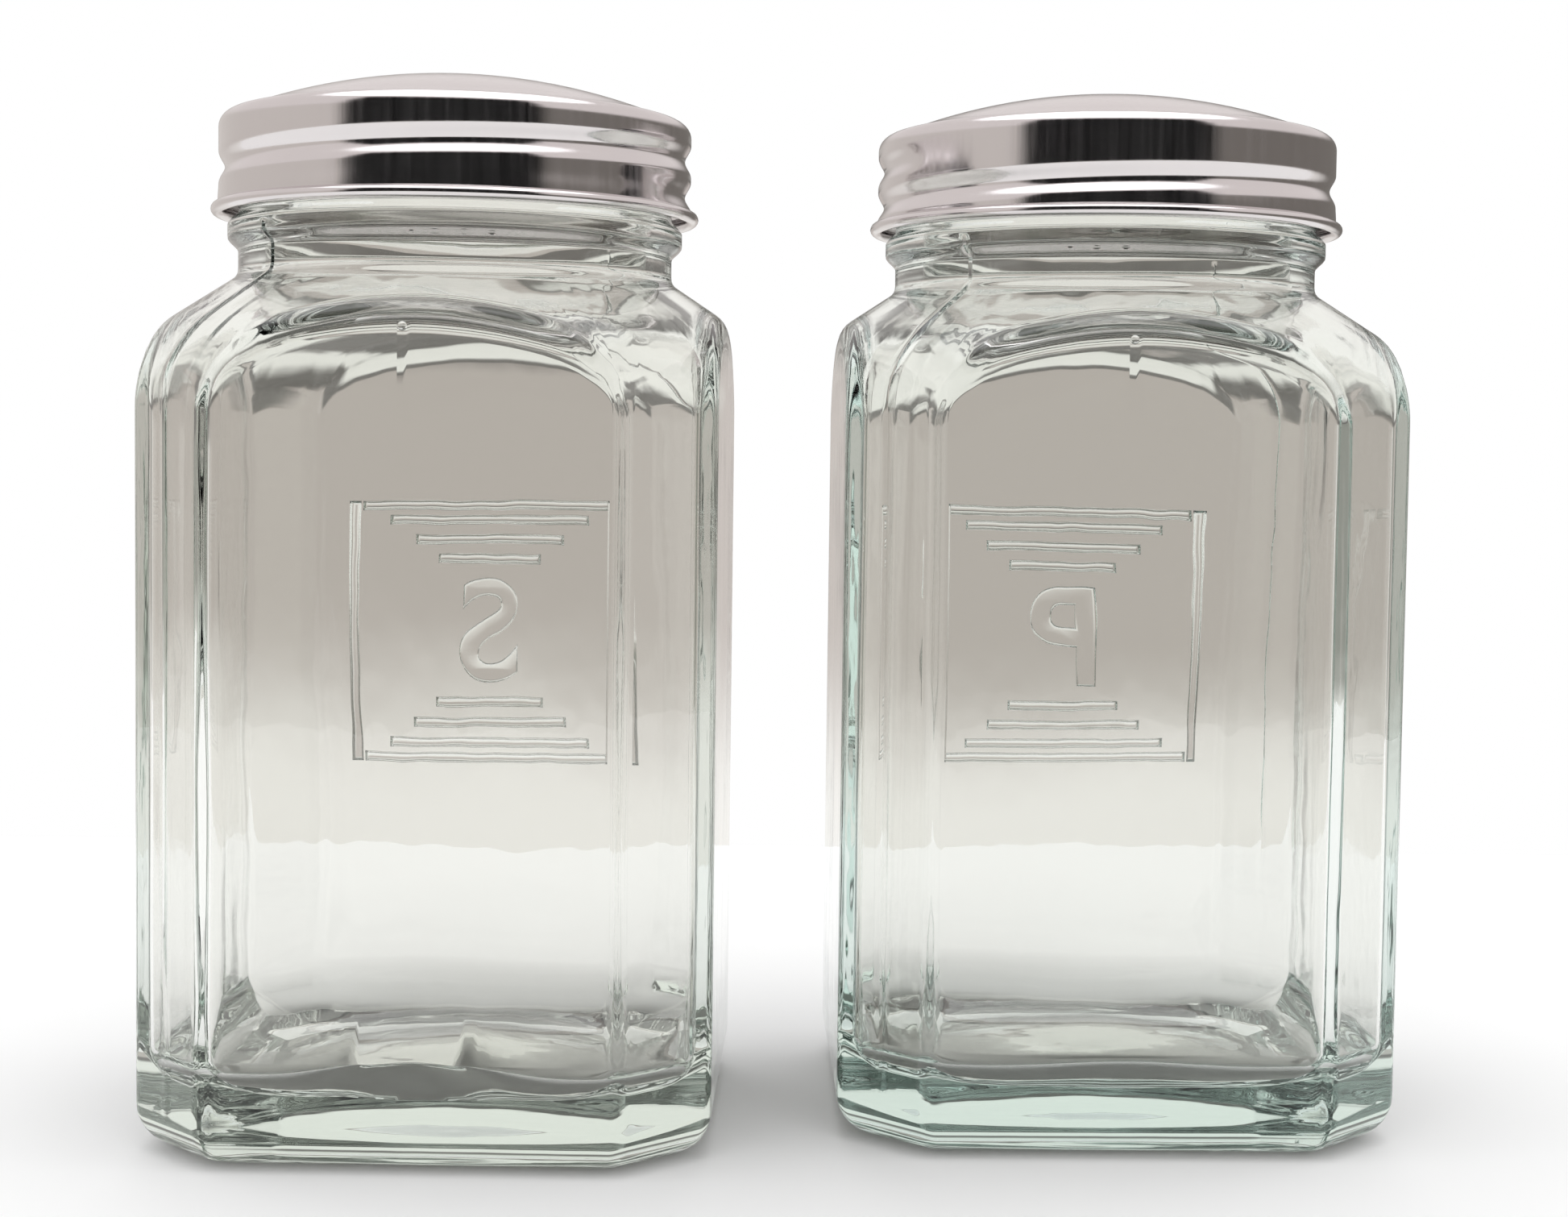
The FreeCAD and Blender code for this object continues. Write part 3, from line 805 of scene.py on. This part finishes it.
def room(s):
    """A drawn room.  Glass shows a wall with a dim ledge, a bright slope and a dark ceiling; steel
    reflects two plain sides and an unlit stretch in front; matt surfaces get an even light."""
    world = bpy.data.worlds.new("studio_room")
    world.use_nodes = True
    tree = world.node_tree
    tree.nodes.clear()
    link = tree.links.new

    def maths(operation, first, second=None):
        made = node(tree, "ShaderNodeMath", operation=operation)
        for socket, value in zip(made.inputs, (first, second)):
            if isinstance(value, (int, float)):
                socket.default_value = value
            elif value is not None:
                link(value, socket)
        return made.outputs[0]

    def between(value, low, high):
        made = node(tree, "ShaderNodeMapRange", interpolation_type="SMOOTHSTEP")
        made.inputs["From Min"].default_value = low
        made.inputs["From Max"].default_value = high
        link(value, made.inputs["Value"])
        return made.outputs["Result"]

    def mix(share, first, second):
        made = node(tree, "ShaderNodeMix", data_type="RGBA")
        link(share, made.inputs[0])
        for socket, value in ((made.inputs[6], first), (made.inputs[7], second)):
            if isinstance(value, tuple):
                socket.default_value = value
            else:
                link(value, socket)
        return made.outputs[2]

    def window(value, low, high, soft=0.06):
        """1 where value lies between low and high, fading softly at both ends."""
        return maths("MULTIPLY", between(value, low - soft, low + soft),
                     between(value, high + soft, high - soft))

    way = node(tree, "ShaderNodeTexCoord")
    parts = node(tree, "ShaderNodeSeparateXYZ")
    link(way.outputs["Generated"], parts.inputs[0])
    x, y, z = parts.outputs
    across = maths("ADD", maths("MULTIPLY", x, x), maths("MULTIPLY", y, y))
    flat = maths("MAXIMUM", maths("SQRT", across), 0.001)
    frontness = maths("DIVIDE", maths("MULTIPLY", y, -1.0), flat)
    rightness = maths("DIVIDE", x, flat)
    sight = node(tree, "ShaderNodeLightPath")
    clear = sight.outputs["Is Transmission Ray"]

    around = mix(window(frontness, -0.62, -0.25), (*s.wall, 1), (*s.shade, 1))
    around = mix(window(frontness, -0.15, 0.55), around, (*s.window, 1))
    around = mix(window(frontness, 0.60, 2.0), around, (*s.shade, 1))
    around = mix(window(z, 0.05, 0.30, 0.015), around, (*s.ledge, 1))
    beyond = maths("SUBTRACT", 1.0, between(frontness, -0.70, -0.20))
    around = mix(maths("MULTIPLY", beyond, between(z, 0.09, 0.14)), around, (*s.skylight, 1))
    middle = maths("MULTIPLY", window(rightness, -0.30, 0.30, 0.08), between(z, 0.36, 0.44))
    around = mix(maths("MULTIPLY", beyond, middle), around, (*s.ceiling, 1))
    around = mix(between(z, 0.72, 0.84), around, (*s.ceiling, 1))
    above = mix(between(z, -0.138, -0.058), (*s.table, 1), around)

    dim = mix(between(rightness, -0.5, 0.1), (*s.steel_left, 1), (*s.steel_right, 1))
    unlit = maths("MULTIPLY", between(frontness, 0.60, 0.72), between(z, -0.25, -0.05))
    unlit = maths("MULTIPLY", unlit, maths("SUBTRACT", 1.0, between(z, 0.70, 0.80)))
    mirrored = mix(between(z, 0.20, 0.38), dim, (*s.behind, 1))
    mirrored = mix(unlit, mirrored, (*s.dark, 1))
    mirrored = mix(between(z, -0.30, -0.10), (*s.table, 1), mirrored)
    mirrored = mix(window(z, 0.83, 0.95, 0.03), mirrored, BRIGHT_STRIP)
    level = maths("SUBTRACT", 1.0, between(z, 0.05, 0.16))
    mirrored = mix(maths("MULTIPLY", between(frontness, -0.95, -0.985), level), mirrored, above)

    lit = mix(clear, mirrored, above)
    lit = mix(sight.outputs["Is Glossy Ray"], (*s.fill, 1), lit)
    seen = mix(sight.outputs["Is Camera Ray"], lit, (1.0, 1.0, 1.0, 1))
    background = node(tree, "ShaderNodeBackground")
    link(seen, background.inputs["Color"])
    output = node(tree, "ShaderNodeOutputWorld")
    link(background.outputs[0], output.inputs["Surface"])
    bpy.context.scene.world = world


def pale_floor(s):
    deselect()
    bpy.ops.mesh.primitive_plane_add(size=1.0)
    floor = newest("pale_floor")
    floor.data.transform(Matrix.Translation((0, s.floor_behind - FLOOR_DEPTH / 2, -0.2 * MM))
                         @ Matrix.Diagonal((s.floor_width, FLOOR_DEPTH, 1, 1)))
    made, tree, shader = material("pale_floor")
    shader.inputs["Base Color"].default_value = (0.94, 0.94, 0.94, 1)
    shader.inputs["Roughness"].default_value = 0.7
    shader.inputs["Specular IOR Level"].default_value = 0.2
    floor.data.materials.append(made)


def place_camera(s):
    bpy.ops.object.camera_add(location=(s.camera_side, -s.camera_distance, s.camera_height))
    camera = bpy.context.object
    camera.name = "studio_camera"
    turned = Matrix.Rotation(math.pi / 2 - s.pitch, 4, "X") @ Matrix.Rotation(s.roll, 4, "Z")
    camera.rotation_euler = turned.to_euler()
    camera.data.lens = s.lens
    camera.data.sensor_width = 36.0
    camera.data.clip_start = 0.01
    bpy.context.scene.camera = camera


def soft_light(name, place, aim, size, power):
    bpy.ops.object.light_add(type="AREA", location=place)
    lamp = bpy.context.object
    lamp.name = name
    lamp.data.size = size
    lamp.data.energy = power
    lamp.rotation_euler = (Vector(aim) - Vector(place)).to_track_quat("-Z", "Y").to_euler()


class SCENE_OT_shaker_stage(bpy.types.Operator):
    """Lay the pale floor, light the room softly and place the camera"""
    bl_idname = "scene.shaker_stage"
    bl_label = "Studio stage"

    def execute(self, context):
        s = context.scene.shaker_stage
        room(s)
        pale_floor(s)
        deselect()
        place_camera(s)
        soft_light("overhead_softbox", (0.0, -0.1, 0.75), (0, 0, 0.06), 0.5, 0.6)
        context.scene.view_settings.view_transform = "Standard"
        context.scene.cycles.max_bounces = 24
        context.scene.cycles.glossy_bounces = 16
        context.scene.cycles.transmission_bounces = 16
        return {"FINISHED"}


# ---------------------------------------------------------------------------------------
# Panel and registration
# ---------------------------------------------------------------------------------------

SETTINGS = {
    "shaker_jar": ShakerJarSettings,
    "shaker_relief": ShakerReliefSettings,
    "shaker_lid": ShakerLidSettings,
    "shaker_seal": ShakerSealSettings,
    "shaker_stage": ShakerStageSettings,
}
OPERATORS = (SCENE_OT_shaker_stage, MESH_OT_shaker_jars, MESH_OT_shaker_lids, MESH_OT_shaker_seals)


class VIEW3D_PT_shakers(bpy.types.Panel):
    bl_label = "Shakers"
    bl_idname = "VIEW3D_PT_shakers"
    bl_space_type = "VIEW_3D"
    bl_region_type = "UI"
    bl_category = "Shakers"

    def draw(self, context):
        layout = self.layout
        for operator in OPERATORS:
            layout.operator(operator.bl_idname)
        for name, group in SETTINGS.items():
            box = layout.box()
            for key in group.__annotations__:
                box.prop(getattr(context.scene, name), key)


def register():
    for group in SETTINGS.values():
        bpy.utils.register_class(group)
    for name, group in SETTINGS.items():
        setattr(bpy.types.Scene, name, bpy.props.PointerProperty(type=group))
    for operator in OPERATORS:
        bpy.utils.register_class(operator)
    bpy.utils.register_class(VIEW3D_PT_shakers)


def unregister():
    bpy.utils.unregister_class(VIEW3D_PT_shakers)
    for operator in reversed(OPERATORS):
        bpy.utils.unregister_class(operator)
    for name, group in SETTINGS.items():
        delattr(bpy.types.Scene, name)
        bpy.utils.unregister_class(group)


def main():
    register()
    bpy.ops.scene.shaker_stage()
    bpy.ops.mesh.shaker_jars()
    bpy.ops.mesh.shaker_lids()
    bpy.ops.mesh.shaker_seals()


if __name__ == "__main__":
    main()
